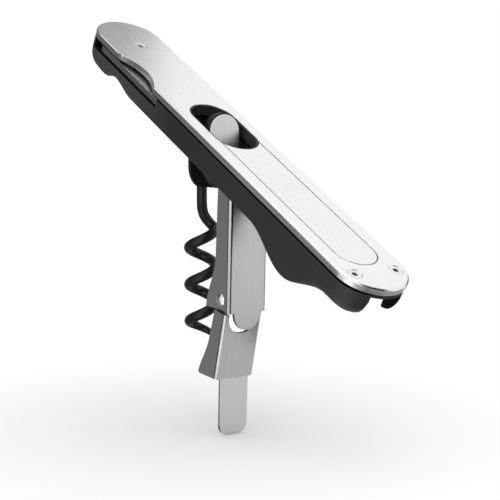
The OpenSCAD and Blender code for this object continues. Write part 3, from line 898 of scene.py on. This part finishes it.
@dataclass(frozen=True)
class Flag:
    """A grey card outside the picture, which only polished faces see."""

    name: str
    spot: Spot
    aim: Spot
    width: float
    tall: float
    grey: float

    @classmethod
    def lying(cls, name: str, spot: Spot, width: float, tall: float, grey: float) -> "Flag":
        """A card that lies flat and faces up.

        Args:
            name: the card's name.
            spot: its middle.
            width: its size along X.
            tall: its size along Y.
            grey: its brightness.

        Returns:
            The card.
        """
        return cls(name, spot, (spot[0], spot[1], 1.0), width, tall, grey)

    def place(self) -> None:
        """Adds the card."""
        shape = bmesh.new()
        bmesh.ops.create_grid(shape, x_segments=1, y_segments=1, size=0.5)
        bmesh.ops.scale(shape, vec=(self.width, self.tall, 1.0), verts=shape.verts)
        turn = (Vector(self.aim) - Vector(self.spot)).to_track_quat("-Z", "Y").to_matrix()
        bmesh.ops.rotate(shape, cent=(0.0, 0.0, 0.0), matrix=turn, verts=shape.verts)
        bmesh.ops.translate(shape, vec=self.spot, verts=shape.verts)
        mesh = bpy.data.meshes.new(self.name)
        shape.to_mesh(mesh)
        shape.free()
        material, canvas = new_canvas(self.name)
        canvas.end(canvas.add("ShaderNodeEmission", None, {"Color": (*(self.grey,) * 3, 1.0)}))
        mesh.materials.append(material)
        card = bpy.data.objects.new(self.name, mesh)
        bpy.context.scene.collection.objects.link(card)
        card.visible_camera = False
        card.visible_diffuse = False
        card.visible_shadow = False


def bearing(azimuth: float, height: float) -> Vector:
    """A direction in the row frame.

    Args:
        azimuth: degrees from +X towards +Y.
        height: degrees above the floor.

    Returns:
        The direction, one unit long.
    """
    a, e = math.radians(azimuth), math.radians(height)
    return Vector((math.cos(a) * math.cos(e), math.sin(a) * math.cos(e), math.sin(e)))


@dataclass
class Studio:
    """Camera, floor, air and lamps."""

    eye: Spot = (0.302685, -0.206809, 0.070313)
    sight: Triple = (-0.7997, 0.5909, -0.1067)
    lens: float = 102.03
    sensor: float = 36.0
    clip: float = 0.01
    floor_span: float = 6.0
    floor_gap: float = 0.2 * MM
    near: float = 0.01
    far: float = 0.09
    ambient: float = 0.8
    floor_colour: Colour = (0.96, 0.96, 0.96)
    fleck: float = 2 * MM
    fleck_tone: float = 0.98
    card_gap: float = 1 * MM

    def build(self, centre: Vector, lowest: float) -> None:
        """Sets the studio up round the tool.

        Args:
            centre: middle of the tool.
            lowest: height of its lowest point.
        """
        bpy.context.scene.view_settings.view_transform = "Standard"
        self._camera()
        self._air()
        self._floor(lowest)
        for lamp in self._lamps():
            lamp.place(centre)
        for card in self._cards(lowest):
            card.place()

    @staticmethod
    def _lamps() -> list[SoftBox]:
        """The lamps: azimuth and height in degrees, reach and width in metres, and watts."""
        return [
            SoftBox("top_box", -60.0, 78.0, 0.8, 0.5, 0.8),
            SoftBox("side_box", -54.0, 8.0, 0.8, 0.35, 0.8),
        ]

    def _cards(self, lowest: float) -> list[Flag]:
        """The grey cards: place, point faced, two sizes in metres, and brightness.

        Args:
            lowest: height of the tool's lowest point.

        Returns:
            The cards that stand, then those that lie.
        """
        ground = lowest + self.card_gap
        return [
            Flag("left_flag", (-0.096, -0.06, 0.115), (-0.001, 0.019, 0.115), 0.195, 0.14, 0.13),
            Flag("left_foot_flag", (-0.114, -0.038, 0.015), (-0.019, 0.041, 0.015),
                 0.138, 0.06, 0.3),
            Flag("left_end_flag", (-0.052, -0.113, 0.015), (0.043, -0.034, 0.015),
                 0.057, 0.06, 0.1),
            Flag("far_flag", (-0.02, 0.155, 0.03), (0.02, 0.0, 0.03), 0.2, 0.12, 0.05),
            Flag("edge_flag", (0.1586, -0.0195, 0.05), (0.02, 0.0, 0.05), 0.125, 0.13, 0.03),
            Flag("tip_flag", (-0.2, 0.05, 0.2306), (-0.03, 0.0, 0.0859), 0.2, 0.3, 0.35),
            Flag.lying("left_low_flag", (-0.06, -0.01, ground), 0.15, 0.26, 0.3),
            Flag.lying("back_low_flag", (0.07, 0.075, ground), 0.06, 0.09, 0.3),
            Flag.lying("low_flag", (0.1825, -0.025, lowest), 0.215, 0.15, 0.3),
            Flag.lying("front_low_flag", (0.08, -0.014, ground), 0.04, 0.048, 0.08),
            Flag.lying("low_board", (0.04, -0.05, ground), 0.05, 0.05, 1.8),
        ]

    def _camera(self) -> None:
        """Puts the camera where the photograph was taken from."""
        data = bpy.data.cameras.new("camera")
        data.lens = self.lens
        data.sensor_width = self.sensor
        data.clip_start = self.clip
        camera = bpy.data.objects.new("camera", data)
        bpy.context.scene.collection.objects.link(camera)
        camera.location = self.eye
        camera.rotation_mode = "QUATERNION"
        camera.rotation_quaternion = Vector(self.sight).to_track_quat("-Z", "Y")
        bpy.context.scene.camera = camera

    @staticmethod
    def _shown(canvas: Canvas) -> Shade:
        """1 for rays that show the background, straight on or in a reflection.

        Args:
            canvas: the tree that asks.

        Returns:
            The mask.
        """
        rays = canvas.add("ShaderNodeLightPath")
        straight = Shade(canvas, rays.outputs["Is Camera Ray"])
        glossy = Shade(canvas, rays.outputs["Is Glossy Ray"])
        through = Shade(canvas, rays.outputs["Is Transmission Ray"])
        return straight.larger(glossy).larger(through)

    def _air(self) -> None:
        """Fills the air with white light, softer on matt faces."""
        world = bpy.data.worlds.new("studio_air")
        world.use_nodes = True
        world.cycles.sampling_method = "NONE"
        bpy.context.scene.world = world
        canvas = Canvas(world.node_tree)
        strength = self._shown(canvas) * (1.0 - self.ambient) + self.ambient
        sockets = {"Color": (*WHITE, 1.0), "Strength": strength}
        glow = canvas.add("ShaderNodeBackground", None, sockets)
        canvas.end(glow, "ShaderNodeOutputWorld")

    def _floor(self, lowest: float) -> None:
        """Lays a pale floor that turns white away from the tool and is clear from below.

        Args:
            lowest: height of the tool's lowest point.
        """
        shape = bmesh.new()
        bmesh.ops.create_grid(shape, x_segments=1, y_segments=1, size=self.floor_span)
        bmesh.ops.translate(shape, vec=(0.0, 0.0, lowest - self.floor_gap), verts=shape.verts)
        mesh = bpy.data.meshes.new("floor")
        shape.to_mesh(mesh)
        shape.free()
        material, canvas = new_canvas("floor_paper")
        where = canvas.add("ShaderNodeTexCoord").outputs["Object"]
        radius = canvas.shade("ShaderNodeVectorMath", {"operation": "LENGTH"}, {0: where}, "Value")
        fade = ((radius - self.near) / (self.far - self.near)).clamped()
        fleck = canvas.noise(canvas.place(0.0, (self.fleck,) * 3))
        flecked = scaled(self.floor_colour, self.fleck_tone)
        tint = canvas.tint(fleck, flecked, self.floor_colour)
        paper = canvas.add("ShaderNodeBsdfDiffuse", None, {"Color": tint})
        white = canvas.add("ShaderNodeEmission", None, {"Color": (*WHITE, 1.0)})
        both = canvas.mixed(fade * self._shown(canvas), paper, white)
        under = canvas.shade("ShaderNodeNewGeometry", None, None, "Backfacing")
        clear = canvas.add("ShaderNodeBsdfTransparent")
        canvas.end(canvas.mixed(under, both, clear))
        mesh.materials.append(material)
        floor = bpy.data.objects.new("floor", mesh)
        bpy.context.scene.collection.objects.link(floor)


def main() -> None:
    """Dresses each sub-assembly, then sets up the studio."""
    logging.basicConfig(level=logging.INFO, format="%(message)s")
    finishes = Finishes()
    for assembly in (HandleTop(), HandleShell(), FoilCutter(), LeverPair(), WormUnit()):
        for dressing in assembly.dressings():
            dressing.build(finishes)
    low, high = cad_box
    Studio().build((low + high) / 2, low.z)


if __name__ == "__main__":
    main()
